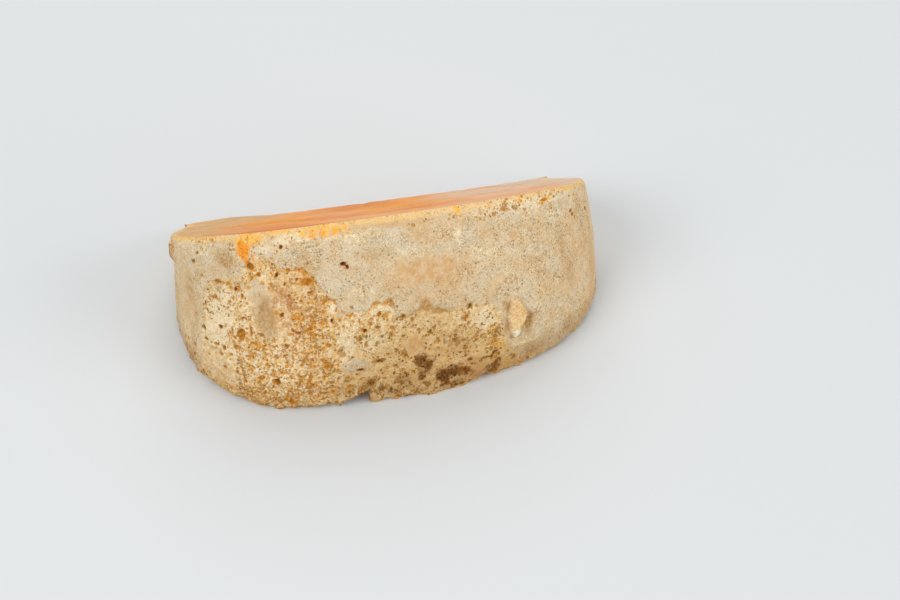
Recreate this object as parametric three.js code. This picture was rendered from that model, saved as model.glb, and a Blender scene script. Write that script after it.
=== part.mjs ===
// A cut piece of mimolette: one wedge of a flattened ball of cheese, lying on one of its two cut faces.
// Millimetres, +Z up. X runs from pole to pole of the ball, the rind faces -Y, and the two cut faces
// meet in a thin edge along the back. The piece is a loft: closed loops, one after another along X.
import * as THREE from "three";

// The ball and the cut.
// The radius at the equator, which is also how deep the piece is: it has settled wider at the base.
const BALL_RADIUS = { base: 100.6, top: 98.6 };
const WEDGE_ANGLE = THREE.MathUtils.degToRad(38.1); // between the two cut faces
const EDGE_Y = 49.7; // the thin edge at the back, so that the piece is centred front to back
const CENTRE_X = 4.3; // the right end is the longer one, so the ball's middle is left of the origin
const EDGE_BOW = 1.7; // the thin edge bends this far to the front, midway
const TOP_SAG = 0.6; // the upper front edge hangs this much, midway
const EDGE_SHIFT = 1.0; // the right part of the thin edge lies this much further forward
const TOP_HOLLOW = 1.2; // the upper cut face has dried a little hollow
const END_SWELL = 1.1; // its left end stands this much proud, near the thin edge

// The two ends of the ball: half lengths at the base and at the upper face, how square the shoulder is
// along and across, and the dimple at the pole.
const LEFT_END = { base: 71.3, top: 70.2, along: 3.75, across: 3.6, dimple: 13.0 };
const RIGHT_END = { base: 79.5, top: 77.5, along: 2.0, across: 4.28, dimple: 8.4 };
const DIMPLE_WIDTH = 36.0;

// How finely the piece is divided.
const FRONT_REACH = 92; // the part of the rind seen from the front, as an arc length from the middle
const FRONT_STEP = 2.05;
const POLE_STEP = 6.0;
const RIND_HEIGHTS = [0, 0.7, 1.5, 2.6, 4.0, 5.4, 6.6, 8.2];
const RIND_STEP = 2.5;
const TOP_ROWS = 9;
const BASE_ROWS = 4;

// Features of the rind are placed by arc length from the middle (s, + to the right) and by height
// along the rind above the base (h), both as seen from the front.
const RIND_HEIGHT = BALL_RADIUS.top * WEDGE_ANGLE;

// Below this line the smooth outer crust has crumbled away and the rind lies deeper.
const CRUST_LINE = [
  [-74, 0], [-70, 30], [-65, 48], [-57, 50], [-50, 52], [-46, 57], [-41, 57], [-38, 53.6], [-27, 50.5],
  [-25, 47], [-23.2, 42], [-19.6, 40.4], [-19.2, 35.4], [-12, 35.6], [-8.5, 38], [-2, 38], [-0.6, 33],
  [4, 32], [9, 35], [17, 31], [25, 32], [31, 30], [34.5, 26], [35.6, 18], [37, 10], [44, 5], [60, 0],
];
const CRUST_STEP = 0.6;
const CRUST_EDGE = 1.6; // the step is spread over this height

// A long smooth hollow in the crumbled part, the raised flake and the hollow at its side, a swelling
// of the left end, two gaps in the lower rim, then the largest pits. Each is centre s, centre h, half
// width, half height and depth, where a negative depth stands proud.
const DENTS = [
  [-44.6, 43, 4.2, 7.5, 1.1],
  [-42.8, 35, 3.8, 7.5, 1.1],
  [40.6, 23, 3.4, 6.8, -1.0],
  [44.6, 19, 2.6, 4.6, 1.0],
  [-98, 56, 9.0, 9.0, -1.3],
  [-25, 0, 5.5, 3.5, 2.0],
  [27, 0, 4.0, 3.2, 1.4],
  [-52.6, 29, 2.6, 2.4, 1.8],
  [-61.2, 30.3, 1.6, 1.6, 1.4],
  [-46.5, 54.5, 2.0, 2.0, 1.4],
  [-28.2, 47.8, 2.4, 2.0, 1.3],
  [-41, 11.5, 2.2, 2.0, 1.5],
  [-16, 52, 1.7, 1.6, 1.6],
  [70.5, 54.5, 1.8, 2.2, 1.6],
  [-24, 16, 2.2, 2.6, 1.2],
  [-52, 8, 3.0, 2.6, 1.1],
  [-33, 27, 3.0, 2.4, 1.2],
  [-35, 42, 2.6, 3.2, 1.1],
  [-62, 43, 2.6, 2.4, 1.0],
  [7, 13, 3.4, 2.6, 1.1],
  [14, 7, 3.4, 2.2, 1.0],
  [32, 16, 3.0, 3.6, 1.1],
  [-6, 24, 3.0, 2.2, 0.9],
  [16, 24, 3.2, 2.4, 0.9],
];

// The crumbled lower rim, with one larger bite whose right wall is steep.
const RIM_CRUMBLE = 2.4;
const RIM_CRUMBLE_HEIGHT = 2.2;
const BITE = { left: -20.5, right: -11.4, height: 6.2, depth: 9.0 };

// Slow unevenness of the whole rind.
const UNEVEN = 0.7;
const UNEVEN_SIZE = 17;

// A repeatable pseudo-random number from 0 to 1 for one lattice point.
function lattice(i, j) {
  const v = Math.sin(i * 127.1 + j * 311.7) * 43758.5453;
  return v - Math.floor(v);
}

// Smooth random hills from 0 to 1 over the plane.
function hills(u, v) {
  const i = Math.floor(u);
  const j = Math.floor(v);
  const fu = THREE.MathUtils.smoothstep(u - i, 0, 1);
  const fv = THREE.MathUtils.smoothstep(v - j, 0, 1);
  const low = THREE.MathUtils.lerp(lattice(i, j), lattice(i + 1, j), fu);
  const high = THREE.MathUtils.lerp(lattice(i, j + 1), lattice(i + 1, j + 1), fu);
  return THREE.MathUtils.lerp(low, high, fv);
}

// The outline of the ball in one plane through its axis. turn runs from 0 at the left pole to PI at
// the right pole, and lift from 0 at the base to 1 at the upper face.
function outline(turn, lift) {
  const way = -Math.cos(turn);
  const end = way < 0 ? LEFT_END : RIGHT_END;
  const reach = THREE.MathUtils.lerp(end.base, end.top, lift);
  const equator = THREE.MathUtils.lerp(BALL_RADIUS.base, BALL_RADIUS.top, lift);
  const radius = equator * Math.abs(Math.sin(turn)) ** (2 / end.across);
  const dimple = end.dimple * Math.exp(-((radius / DIMPLE_WIDTH) ** 2)) * Math.sqrt(Math.abs(way));
  const x = Math.sign(way) * (reach * Math.abs(way) ** (2 / end.along) - dimple);
  return { x, radius, bow: Math.max(0, 1 - (x / reach) ** 2) };
}

// Turns at even arc lengths, fine where the rind faces the front and coarse towards the poles.
function stations() {
  const samples = 6000;
  const arc = [0];
  let last = outline(0, 0);
  for (let k = 1; k <= samples; k++) {
    const next = outline((k / samples) * Math.PI, 0);
    arc.push(arc[k - 1] + Math.hypot(next.x - last.x, next.radius - last.radius));
    last = next;
  }
  const middle = arc[samples / 2];
  const wanted = [];
  for (let s = POLE_STEP - middle; s < -FRONT_REACH; s += POLE_STEP) wanted.push(s);
  for (let s = -FRONT_REACH; s <= FRONT_REACH; s += FRONT_STEP) wanted.push(s);
  for (let s = FRONT_REACH + POLE_STEP; s < arc[samples] - middle - 1; s += POLE_STEP) wanted.push(s);
  let k = 0;
  return wanted.map((s) => {
    while (arc[k + 1] - middle < s) k++;
    const part = (s + middle - arc[k]) / (arc[k + 1] - arc[k]);
    return { s, turn: ((k + part) / samples) * Math.PI };
  });
}

// The height of the crust line at one place along the rind, or -1 beside it.
function crustLine(s) {
  for (let k = 1; k < CRUST_LINE.length; k++) {
    const [s0, h0] = CRUST_LINE[k - 1];
    const [s1, h1] = CRUST_LINE[k];
    if (s >= s0 && s < s1) return THREE.MathUtils.mapLinear(s, s0, s1, h0, h1);
  }
  return -1;
}

// How deep the lower rim has crumbled, with the bite.
function rimLoss(s, h) {
  const fade = 1 - THREE.MathUtils.smoothstep(h, 0, RIM_CRUMBLE_HEIGHT);
  const crumble = RIM_CRUMBLE * fade * hills(s * 0.42, 3.3) ** 1.5;
  if (s < BITE.left || s > BITE.right) return crumble;
  const along = (s - BITE.left) / (BITE.right - BITE.left);
  const roof = BITE.height * (0.25 + 0.75 * along);
  const bite = BITE.depth * (1 - THREE.MathUtils.smoothstep(h, roof - 0.6, roof + 0.6));
  return Math.max(crumble, bite);
}

// How far the rind lies below the plain ball at one place.
function inset(s, h) {
  let depth = UNEVEN * hills(s / UNEVEN_SIZE + 9, h / UNEVEN_SIZE);
  depth += CRUST_STEP * THREE.MathUtils.smoothstep(crustLine(s) - h, -CRUST_EDGE / 2, CRUST_EDGE / 2);
  for (const [cs, ch, width, height, dent] of DENTS) {
    const away = Math.hypot((s - cs) / width, (h - ch) / height);
    depth += dent * (1 - THREE.MathUtils.smoothstep(away, 0.35, 1));
  }
  return depth + rimLoss(s, h);
}

// A point of the rind at one station and one height, moved in along the surface normal.
function rindPoint(station, h) {
  const lift = h / RIND_HEIGHT;
  const here = outline(station.turn, lift);
  const before = outline(station.turn - 0.002, lift);
  const after = outline(station.turn + 0.002, lift);
  const across = after.x - before.x;
  const along = after.radius - before.radius;
  const span = Math.hypot(across, along);
  const fade = Math.min(1, here.radius / 30); // near the poles the features die out
  const depth = inset(station.s, h) * fade;
  const x = here.x + (along / span) * depth;
  const radius = here.radius - (across / span) * depth;
  const angle = WEDGE_ANGLE * lift;
  const z = radius * Math.sin(angle) - lift * TOP_SAG * here.bow;
  return new THREE.Vector3(x, -radius * Math.cos(angle), z);
}

// The thin edge at the back, where the two cut faces meet.
function edgePoint(station) {
  const left = outline(0, 0).x;
  const right = outline(Math.PI, 0).x;
  const x = THREE.MathUtils.lerp(left, right, station.along);
  const bow = 1 - (2 * station.along - 1) ** 2;
  return new THREE.Vector3(x, -EDGE_BOW * bow, 0);
}

// A point of a cut face, part of the way from the rim to the thin edge.
function facePoint(rim, edge, part, hollow) {
  const keep = 1 - part;
  const x = THREE.MathUtils.lerp(edge.x, rim.x, keep ** 2);
  const y = THREE.MathUtils.lerp(edge.y, rim.y, keep);
  const z = THREE.MathUtils.lerp(edge.z, rim.z, keep);
  const bow = 1 - (x / LEFT_END.base) ** 2;
  const swell = THREE.MathUtils.smoothstep(-x, 20, 48) * THREE.MathUtils.smoothstep(part, 0.3, 0.9);
  let down = hollow * Math.max(0, bow) * Math.sin(Math.PI * part) * 0.9;
  if (hollow > 0) down -= END_SWELL * swell * Math.min(1, rim.distanceTo(edge) / 40);
  return new THREE.Vector3(x, y - down * Math.sin(WEDGE_ANGLE), z - down * Math.cos(WEDGE_ANGLE));
}

// A point moved forward where it is near the right part of the thin edge.
function shifted(point) {
  const near = 1 - THREE.MathUtils.smoothstep(Math.hypot(point.y, point.z), 0, 60);
  const forward = EDGE_SHIFT * THREE.MathUtils.smoothstep(point.x, 5, 60) * near;
  return new THREE.Vector3(point.x, point.y - forward, point.z);
}

// One closed loop round the piece: up the rind, back over the upper face, forward along the base.
function loop(station, heights) {
  const points = heights.map((h) => rindPoint(station, h));
  const lower = points[0];
  const upper = points[points.length - 1];
  const edge = edgePoint(station);
  for (let k = 1; k < TOP_ROWS; k++) points.push(facePoint(upper, edge, k / TOP_ROWS, TOP_HOLLOW));
  points.push(edge);
  for (let k = BASE_ROWS - 1; k > 0; k--) points.push(facePoint(lower, edge, k / BASE_ROWS, 0));
  return points.map(shifted);
}

// The closed skin over all loops, drawn together to a point at each pole.
function loft(loops, firstPole, lastPole) {
  const size = loops[0].length;
  const points = [firstPole, ...loops.flat(), lastPole];
  const last = points.length - 1;
  const index = [];
  for (let k = 0; k < size; k++) {
    const next = (k + 1) % size;
    index.push(0, 1 + k, 1 + next);
    for (let row = 0; row < loops.length - 1; row++) {
      const a = 1 + row * size;
      const b = a + size;
      index.push(a + k, b + k, b + next);
      index.push(a + k, b + next, a + next);
    }
    const end = last - size;
    index.push(end + k, last, end + next);
  }
  const geometry = new THREE.BufferGeometry().setFromPoints(points);
  geometry.setIndex(index);
  geometry.computeVertexNormals();
  return geometry;
}

// The whole piece.
function mimolette() {
  const heights = [...RIND_HEIGHTS];
  const rows = Math.round((RIND_HEIGHT - heights[heights.length - 1]) / RIND_STEP);
  const step = (RIND_HEIGHT - heights[heights.length - 1]) / rows;
  for (let k = 0; k < rows; k++) heights.push(heights[heights.length - 1] + step);
  const along = stations();
  const first = along[0].s - POLE_STEP;
  const span = along[along.length - 1].s + POLE_STEP - first;
  for (const station of along) station.along = (station.s - first) / span;
  const loops = along.map((station) => loop(station, heights));
  const geometry = loft(loops, edgePoint({ along: 0 }), shifted(edgePoint({ along: 1 })));
  geometry.translate(-CENTRE_X, EDGE_Y, 0);
  const rind = new THREE.MeshStandardMaterial({ color: "#cdb48c", roughness: 0.8, metalness: 0 });
  const mesh = new THREE.Mesh(geometry, rind);
  mesh.name = "mimolette";
  return mesh;
}

const group = new THREE.Group();
group.name = "mimolette_wedge";
group.add(mimolette());
export default group;
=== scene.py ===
# A cut piece of mimolette: the looks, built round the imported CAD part.
# One closed mesh of the true form replaces the CAD solid. Its pits, crust, crumbs and cut faces are
# geometry, and a node material colours them by masks that the same functions write on the mesh.
import math

import bpy
import numpy as np
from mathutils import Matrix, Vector


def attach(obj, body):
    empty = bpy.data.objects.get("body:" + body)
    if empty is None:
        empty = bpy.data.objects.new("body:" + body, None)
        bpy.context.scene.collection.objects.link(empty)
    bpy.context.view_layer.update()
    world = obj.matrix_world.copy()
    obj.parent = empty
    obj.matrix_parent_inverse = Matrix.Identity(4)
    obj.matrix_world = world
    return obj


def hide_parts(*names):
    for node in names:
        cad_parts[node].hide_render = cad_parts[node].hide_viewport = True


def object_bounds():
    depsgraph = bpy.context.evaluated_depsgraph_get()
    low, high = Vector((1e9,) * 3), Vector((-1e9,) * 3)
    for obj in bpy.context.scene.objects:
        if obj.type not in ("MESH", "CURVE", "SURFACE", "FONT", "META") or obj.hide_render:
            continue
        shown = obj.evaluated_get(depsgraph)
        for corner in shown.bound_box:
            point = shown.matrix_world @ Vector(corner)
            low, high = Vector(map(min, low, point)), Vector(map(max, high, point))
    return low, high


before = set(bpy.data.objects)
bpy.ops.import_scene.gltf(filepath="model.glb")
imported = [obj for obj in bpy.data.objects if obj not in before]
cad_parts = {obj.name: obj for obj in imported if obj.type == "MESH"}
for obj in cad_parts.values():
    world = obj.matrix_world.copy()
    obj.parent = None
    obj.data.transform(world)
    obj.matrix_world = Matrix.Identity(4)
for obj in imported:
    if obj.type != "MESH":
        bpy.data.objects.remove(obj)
cad_low, cad_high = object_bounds()

MM = 0.001

# The ball and the cut, as in the CAD part, in millimetres.
BALL_RADIUS = (100.6, 98.6)  # at the base and at the upper face
WEDGE_ANGLE = math.radians(38.1)
EDGE_Y = 49.7
CENTRE_X = 4.3
EDGE_BOW = 1.7
EDGE_SHIFT = 1.0  # the right part of the thin edge lies this much further forward
TOP_SAG = 0.6
TOP_HOLLOW = 1.2
HOLLOW_FADE = 40.0  # the hollow is shallower where the face is shorter than this
END_SWELL = 1.1  # the upper face's left end stands this much proud, near the thin edge
TOP_ROUNDING = 2.6  # the rind bends into the upper face over this height
LEFT_END = {"base": 71.3, "top": 70.2, "along": 3.75, "across": 3.6, "dimple": 13.0}
RIGHT_END = {"base": 79.5, "top": 77.5, "along": 2.0, "across": 4.28, "dimple": 8.4}
DIMPLE_WIDTH = 36.0
RIND_HEIGHT = BALL_RADIUS[1] * WEDGE_ANGLE

# How finely the piece is divided, and how many points stand in for the outline.
FRONT_REACH = 92.0
FRONT_STEP = 0.47
POLE_STEP = 1.2
RIND_STEP = 0.47
TOP_ROWS = 50
TOP_ROW_POWER = 1.4  # the upper face's rows are closer near the rim
BASE_ROWS = 6
OUTLINE_POINTS = 6001
RIM_POINTS = 721

# Features of the rind are placed by arc length from the middle (s, + to the right) and by height
# along the rind above the base (h), in millimetres.

# Below this line the smooth outer crust has crumbled away and the rind lies deeper.
CRUST_LINE = [
    (-74, 0), (-70, 30), (-65, 48), (-57, 50), (-50, 52), (-46, 57), (-41, 57), (-38, 53.6), (-27, 50.5),
    (-25, 47), (-23.2, 42), (-19.6, 40.4), (-19.2, 35.4), (-12, 35.6), (-8.5, 38), (-2, 38), (-0.6, 33),
    (4, 32), (9, 35), (17, 31), (25, 32), (31, 30), (34.5, 26), (35.6, 18), (37, 10), (44, 5), (60, 0),
]
CRUST_STEP = 0.5
# How soft the crust's lower edge is along the rind, in millimetres.
CRUST_EDGE = [
    (-74, 7), (-46, 6), (-40, 0.7), (-18, 0.7), (-12, 2), (0, 1.6), (6, 5), (26, 6), (34, 5), (37, 7),
    (60, 8),
]

# The long smooth hollow, the raised flake and the hollow at its side: centre s, centre h, half
# width, half height and depth.
SHAPES = [
    (-44.6, 43, 4.2, 7.5, 1.5), (-42.8, 35, 3.8, 7.5, 1.5),
    (44.6, 19.0, 2.2, 4.2, 1.1),
    (39.5, 14.4, 3.0, 1.2, 0.6),
    (32.3, 15, 2.6, 6.5, 0.4),
    (-98, 56, 9, 9, -1.3), (-25, 0, 5.5, 3.5, 2.0), (27, 0, 4, 3.2, 1.4),
]

# Firm smooth patches inside the crumbled rind.
FIRM = [
    (-45, 45, 3.2, 4.6, 1), (-43.4, 39.5, 3.9, 6.5, 1), (-42.3, 33, 2.8, 5, 1), (-15, 16.5, 5, 2.6, 0.8),
]

# The raised flake and the pale chip below it: corners (s, h), clockwise, their height above the rind,
# the width of their edges, and where a shallow cleft with painted shadow runs round the flake and under the
# chip.
FLAKE = [(38.9, 29.0), (41.7, 29.3), (44.3, 23.0), (41.3, 17.8), (38.0, 18.3), (37.0, 23.0)]
CHIP = [(37.6, 18.9), (41.2, 18.4), (41.0, 16.0), (38.6, 14.8)]
FLAKE_RISE = 1.0
CHIP_RISE = 0.9
FLAKE_EDGE = 0.5
SHADOWED_CLEFT = [
    (37.2, 27, 1.6, 2.4, 1), (36.4, 20, 1.4, 2.6, 0.8), (43.6, 19.5, 2.4, 3.6, 1),
    (39.6, 15.2, 2.2, 1.2, 0.9), (44.6, 24, 1.2, 2, 0.4),
]

# The largest pits: centre s, centre h, half width, half height, depth, hue and tint. Hue runs from
# 0, olive, over 0.5, orange-brown, to 1, dark red.
LARGE_PITS = [
    (-52.6, 29, 2.3, 2.5, 1.8, 0.6, 0.8), (-61.2, 30.3, 1, 0.9, 1.8, 0.95, 1.3),
    (-46.6, 54.5, 1.7, 1.6, 1.3, 0.6, 0.8), (-28.4, 47.6, 2.3, 1.5, 1, 0.62, 0.62),
    (-41.2, 11.8, 1.5, 1.6, 1.5, 0.72, 1), (-16.4, 52.2, 1, 0.9, 1.8, 0.95, 1.4),
    (-15.2, 51.2, 0.7, 0.8, 1.4, 0.95, 1.3), (-35.6, 60, 0.8, 0.7, 1.2, 0.9, 1.1),
    (-53, 46.2, 0.6, 0.9, 1.4, 0.95, 1.2), (-50.8, 43.6, 0.5, 1.3, 1, 0.75, 0.9),
    (-38.2, 50.8, 0.8, 0.9, 1.1, 0.78, 0.95), (-44.4, 51.4, 1.1, 1.1, 0.8, 0.65, 0.75),
    (-37.8, 37.2, 0.9, 1, 1, 0.8, 0.9), (-21.8, 33.7, 0.6, 1.1, 1.3, 0.85, 1),
    (-11.5, 28.6, 0.7, 0.8, 1.1, 0.9, 1.1), (-24.8, 17.4, 1.2, 2.2, 0.8, 0.35, 0.5),
    (-29.6, 10.4, 0.8, 0.9, 0.9, 0.65, 0.8), (-25.6, 6.8, 1, 0.8, 0.8, 0.6, 0.7),
    (-68.6, 59.4, 1.2, 0.6, 1.3, 0.4, 1.2), (-71.3, 55.6, 1.3, 0.9, 0.9, 0.1, 0.9),
    (-70.2, 27, 0.9, 1.2, 1.2, 0.2, 1.2), (-62, 42.4, 1.2, 2, 0.8, 0.3, 0.55),
    (-60, 48.8, 1.8, 0.8, 0.9, 0.6, 0.7), (-64, 22, 1.6, 0.7, 1, 0.6, 1),
    (-60.5, 21.6, 0.8, 1.2, 0.9, 0.6, 0.9), (-69.5, 21.8, 1.2, 0.6, 0.8, 0.15, 1),
    (-62, 18.6, 1, 0.9, 0.8, 0.3, 0.8), (-54.8, 23.6, 2.2, 1, 0.8, 0.4, 0.55),
    (-56.3, 30, 0.6, 2.8, 0.7, 0.5, 0.6), (-49, 31.5, 0.7, 2.6, 0.7, 0.5, 0.6),
    (-55.6, 13, 0.8, 1.6, 0.8, 0.2, 0.7), (-17.8, 8.6, 0.9, 1, 0.7, 0.6, 0.6),
    (70.3, 54.8, 0.9, 0.8, 1.6, 0.4, 1.3), (71.2, 52.9, 1, 0.8, 1.4, 0.5, 1.2),
    (40.5, 61.7, 1.3, 1.2, 0.9, 0.68, 0.5), (57, 62.2, 2.2, 0.6, 0.6, 0.5, 0.7),
    (24, 31.3, 0.8, 0.9, 1, 0.2, 1.1), (22.5, 27.3, 0.9, 1.1, 0.8, 0.4, 0.7),
    (9.8, 25, 0.5, 1.3, 0.8, 0.3, 1), (1.2, 32, 1, 0.9, 0.8, 0.2, 1), (-14, 14.8, 1.3, 0.5, 0.8, 0.8, 1),
    (-37, 4, 1, 2.2, 0.9, 0.5, 0.8), (81.5, 52.5, 1.6, 0.8, 1, 0.15, 0.9),
]

# Broad colours of the rind, each a soft irregular patch: centre s, centre h, half width, half
# height and strength. This one is the ochre bloom of the crumbled rind.
ORANGE = [
    (-32, 45, 9, 9, 0.42), (-28, 38, 9, 3.4, 0.7), (-29, 48, 4, 2.4, 0.7), (-44, 22, 11, 8, 0.5),
    (-30, 26, 8, 14, 0.65), (-46, 9, 12, 12, 0.55), (-27, 15, 7, 9, 0.7), (-35, 5, 12, 6, 0.5),
    (-58, 33, 9, 14, 0.2), (-20, 8, 7, 5, 0.4), (32, 15, 3.2, 6.5, 1.2), (-79, 5, 4, 6, 0.6),
    (-84, 22, 3, 14, 0.5), (47, 6, 3, 3, 0.3), (0, 12, 3, 2, 0.35), (-50, 56, 5, 4, 0.5),
    (-17.7, 34.2, 2.4, 1, 0.8), (-98, 56, 8, 12, 0.9), (-62, 2, 20, 3, 0.6), (-45, 52, 8, 3, 0.4),
    (20, 2, 30, 2, 0.4),
]
# Vivid orange, and the golden yellow along the upper rim.
VIVID = [
    (-48.4, 60.6, 1.6, 3.2, 1), (-46.4, 61.2, 1.5, 1.4, 0.6), (-49.8, 60, 1.6, 2, 0.5),
    (-48, 57.4, 1.2, 1.8, 0.65), (-45.4, 57.8, 0.8, 1.2, 0.5), (-25.2, 63, 1, 1.4, 0.6),
    (-22.2, 63.4, 0.7, 1.2, 0.5), (-18.4, 63.5, 0.9, 1.1, 0.5), (-16.4, 63.4, 0.5, 0.8, 0.5),
    (23.2, 64, 0.7, 0.8, 0.4), (46.3, 63.6, 0.7, 0.9, 0.4), (57, 62.4, 2.2, 0.7, 0.4),
    (-40, 62.4, 1.4, 0.7, 0.35),
]
GOLDEN = [
    (-46.6, 63.4, 4.8, 2, 1.05), (-37, 64.8, 6, 0.7, 0.6),
    (-28, 63.4, 1.2, 1.8, 0.75), (-24.6, 63.2, 1.3, 2, 0.85), (-21.4, 63.6, 1.2, 1.7, 0.8),
    (-18.2, 63.6, 1.4, 1.5, 0.85), (-15.2, 64, 1.2, 1.1, 0.7), (-22, 64.6, 8, 0.8, 0.6),
    (-70, 64.6, 20, 0.9, 0.5), (5, 64.8, 20, 0.7, 0.4), (23, 63.9, 1.3, 1, 0.8), (46.3, 63.6, 1.6, 1.1, 0.8),
    (34, 64, 2, 0.8, 0.5), (57, 62.6, 3.4, 1, 0.6), (13, 64, 8, 1, 0.35), (70, 64.4, 6, 0.8, 0.5),
    (-66, 62.6, 8, 1.4, 0.3), (42, 63.2, 20, 1.6, 0.22), (-48, 59.6, 3.2, 3.6, 0.45),
    (-27, 62.6, 3, 1.2, 0.4), (-14, 62.8, 2, 0.9, 0.4),
]
STAIN = [
    (6.2, 14.4, 2.3, 2.3, 1), (8.2, 12.4, 2.1, 2.2, 1.15), (5.4, 9.4, 1.7, 2.2, 0.95),
    (4.8, 11.5, 1.2, 1.4, 0.6), (7, 6, 1.2, 1, 0.5), (12.8, 7.4, 2.2, 3, 1.15), (16, 8.4, 2.8, 2.3, 1.1),
    (19.8, 7.2, 3, 1.8, 0.9), (22.6, 6.2, 1.6, 1.2, 0.6), (15.8, 10.4, 1.6, 1, 0.7),
    (13, 3.8, 2.2, 1.5, 0.85), (17, 3.4, 3, 2, 0.6), (-7, 17.5, 1.8, 0.8, 0.95), (-9, 17.7, 1, 0.6, 0.6),
    (31, 4.6, 2.8, 2.4, 0.85), (32.8, 6.8, 1.6, 1.4, 0.75), (28.6, 9.9, 2, 0.6, 0.85),
    (30.8, 10.8, 1.2, 0.5, 0.7), (21.2, 12.8, 0.7, 0.6, 1), (23.2, 10.6, 1, 0.7, 1),
    (24.6, 8.6, 0.5, 0.4, 0.8), (-2.6, 14.4, 1, 0.7, 0.7), (-4, 5, 4, 1.6, 0.5), (-7, 5.5, 2.5, 1.5, 0.5),
    (0, 7.5, 3, 2.4, 0.5), (-13.5, 14.8, 1.5, 0.45, 0.8), (38.7, 6.6, 1.6, 0.9, 0.5),
    (20, 2.4, 1.3, 0.9, 0.8), (-11, 9.4, 1.8, 1.4, 0.6), (-0.5, 10, 2, 1.2, 0.45), (-30, 2, 3, 1, 0.4),
    (-53, 5, 3, 3, 0.3), (-98, 54, 4, 5, 0.5),
]
# Soft tan tones, and crisp ochre-brown marks. The strong tan patch at s 44.4 is the hollow's own tan with
# painted shade over it.
TAN_AND_SHADE_PATCHES = [
    (-43.2, 36, 3.4, 7, 0.7), (44.4, 18.6, 2.3, 3.8, 1.3), (-55, 57, 4, 3.4, 0.75), (-52, 48, 3, 4, 0.5),
    (-76, 43, 3, 8, 0.5), (24, 10, 3, 1.2, 0.5), (-12, 9, 3, 3, 0.5), (-35, 6, 6, 5, 0.4),
    (-78, 18, 2, 6, 0.5), (-81, 6, 3, 6, 0.5), (-66, 20, 3, 1.2, 0.5), (-5, 54, 5, 2, 0.4),
    (-27.5, 54, 5, 2.4, 0.4), (63, 44, 1.6, 6, 0.45), (66, 29, 2.2, 6, 0.45), (82, 30, 4, 16, 0.35),
    (46, 8, 4, 3, 0.4), (76, 52, 3, 6, 0.3), (-60, 47, 2.6, 2, 0.8), (10, 33, 8, 3, 0.35),
    (-98, 56, 7, 8, 0.8), (37, 21, 2, 8, 0.35), (20, 20, 5, 3, 0.4),
]
MARKS = [
    (9.2, 34.8, 1.9, 2.6, 0.95), (13.4, 31.2, 3.4, 1.1, 1), (8, 33, 2.6, 1.2, 0.6),
    (-7, 37.2, 1.6, 0.6, 0.8), (-2, 36.6, 1.2, 1.4, 0.85), (-3.6, 33.8, 1.6, 0.5, 0.7),
    (1.6, 32.2, 1.3, 0.9, 0.85), (-5.5, 33.2, 1.6, 0.5, 0.6), (22.4, 27.4, 1.3, 1.6, 0.85),
    (24, 31.4, 0.9, 1.2, 0.9), (36.6, 27.6, 0.9, 1.6, 0.8), (36.4, 19.2, 0.8, 1.6, 0.7),
    (39, 36.8, 2.6, 1.2, 0.4), (18.4, 20.4, 1.6, 1, 0.55), (-0.5, 12.2, 1.6, 1.1, 0.6),
    (-12, 9, 2.4, 2.4, 0.65), (-17.5, 8.4, 1.6, 1.4, 0.65), (-21, 8, 2, 1.4, 0.5),
    (14.5, 23.2, 1.8, 1.4, 0.5), (-7.4, 29, 1.6, 1.2, 0.45), (38.7, 6.4, 1.8, 1, 0.5),
    (45.5, 7, 2.2, 2, 0.4), (-75.5, 43.5, 1.6, 1.4, 0.4), (-74, 30, 1.6, 4, 0.35),
    (-70.8, 56.2, 1.2, 0.9, 0.6), (-55, 57.2, 3.6, 2.6, 0.4), (-28.4, 38.6, 4.2, 1.3, 0.6),
    (-22.8, 40.2, 3.2, 0.7, 0.85), (-26.6, 41.6, 2.6, 1, 0.6), (-28.6, 47.8, 2.2, 1.4, 0.75),
    (-32.8, 28, 1.6, 3.6, 0.35), (-31.6, 37.2, 2.2, 1, 0.55), (-26.6, 45.4, 1.6, 1.4, 0.6),
    (-31.4, 31.6, 1.2, 1.6, 0.6), (-38.8, 47.2, 0.9, 2.2, 0.8), (-37, 44.6, 1, 2.2, 0.8),
    (-35.6, 42.2, 1.1, 2, 0.8), (-34.2, 39.8, 1.4, 1.4, 0.8), (-38.8, 42.6, 0.9, 1.4, 0.7),
    (-33, 36.6, 0.9, 1.6, 0.7), (-36, 34, 0.9, 1.6, 0.7), (-24.3, 17.4, 1.6, 2, 0.7),
    (-32, 16, 1.8, 1.2, 0.4), (32.8, 19, 1, 1.6, 0.5), (-59, 48.8, 2.2, 1, 0.7), (-35.5, 5, 2, 3, 0.5),
    (-44, 6, 3, 4, 0.4), (63.5, 8, 3, 4, 0.4), (-80, 5, 2.4, 3, 0.6),
]
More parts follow.
